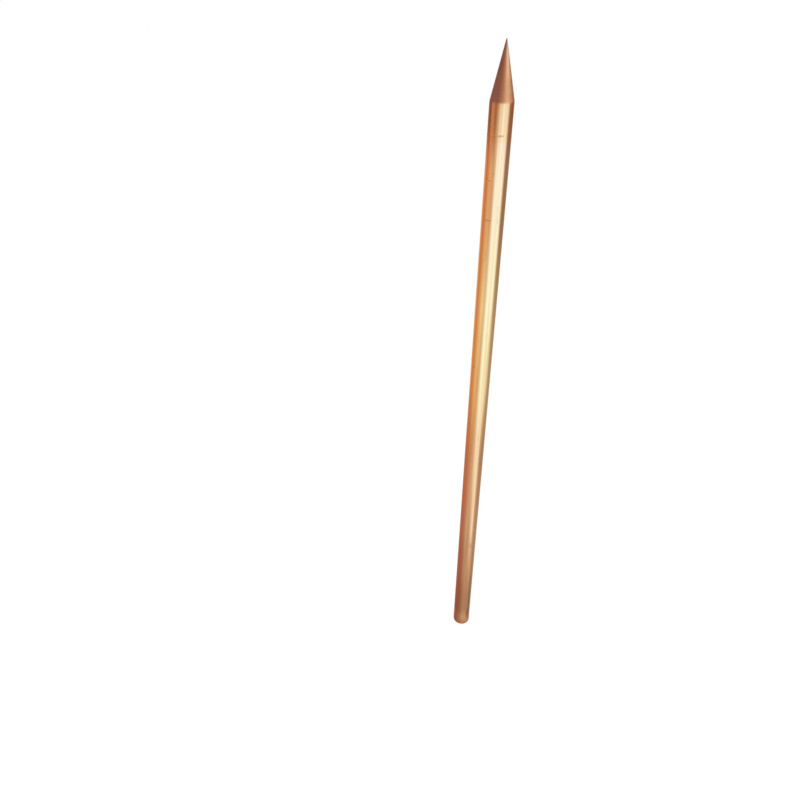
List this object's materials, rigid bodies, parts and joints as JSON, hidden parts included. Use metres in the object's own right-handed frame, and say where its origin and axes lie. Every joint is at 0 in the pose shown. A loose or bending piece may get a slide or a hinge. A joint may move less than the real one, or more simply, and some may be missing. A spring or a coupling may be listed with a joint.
{
  "type": "earth rod",
  "caption": "Solid copper earth rod: a straight round bar with a turned conical point and a flat bevelled butt, driven into the ground and clamped to an earthing conductor.",
  "frame": {"origin": "centre of the flat butt face, on the rod's axis", "axes": "+Z along the rod's axis, from the butt to the point; X and Y are free, because the rod is round"},
  "size_m": [0.018, 0.018, 0.6],
  "materials": {
    "copper": "drawn copper bar, satin with a golden to red-brown tarnish; matt turned finish on the point"
  },
  "bodies": {
    "root": {"earth_rod": "copper"}
  },
  "joints": []
}
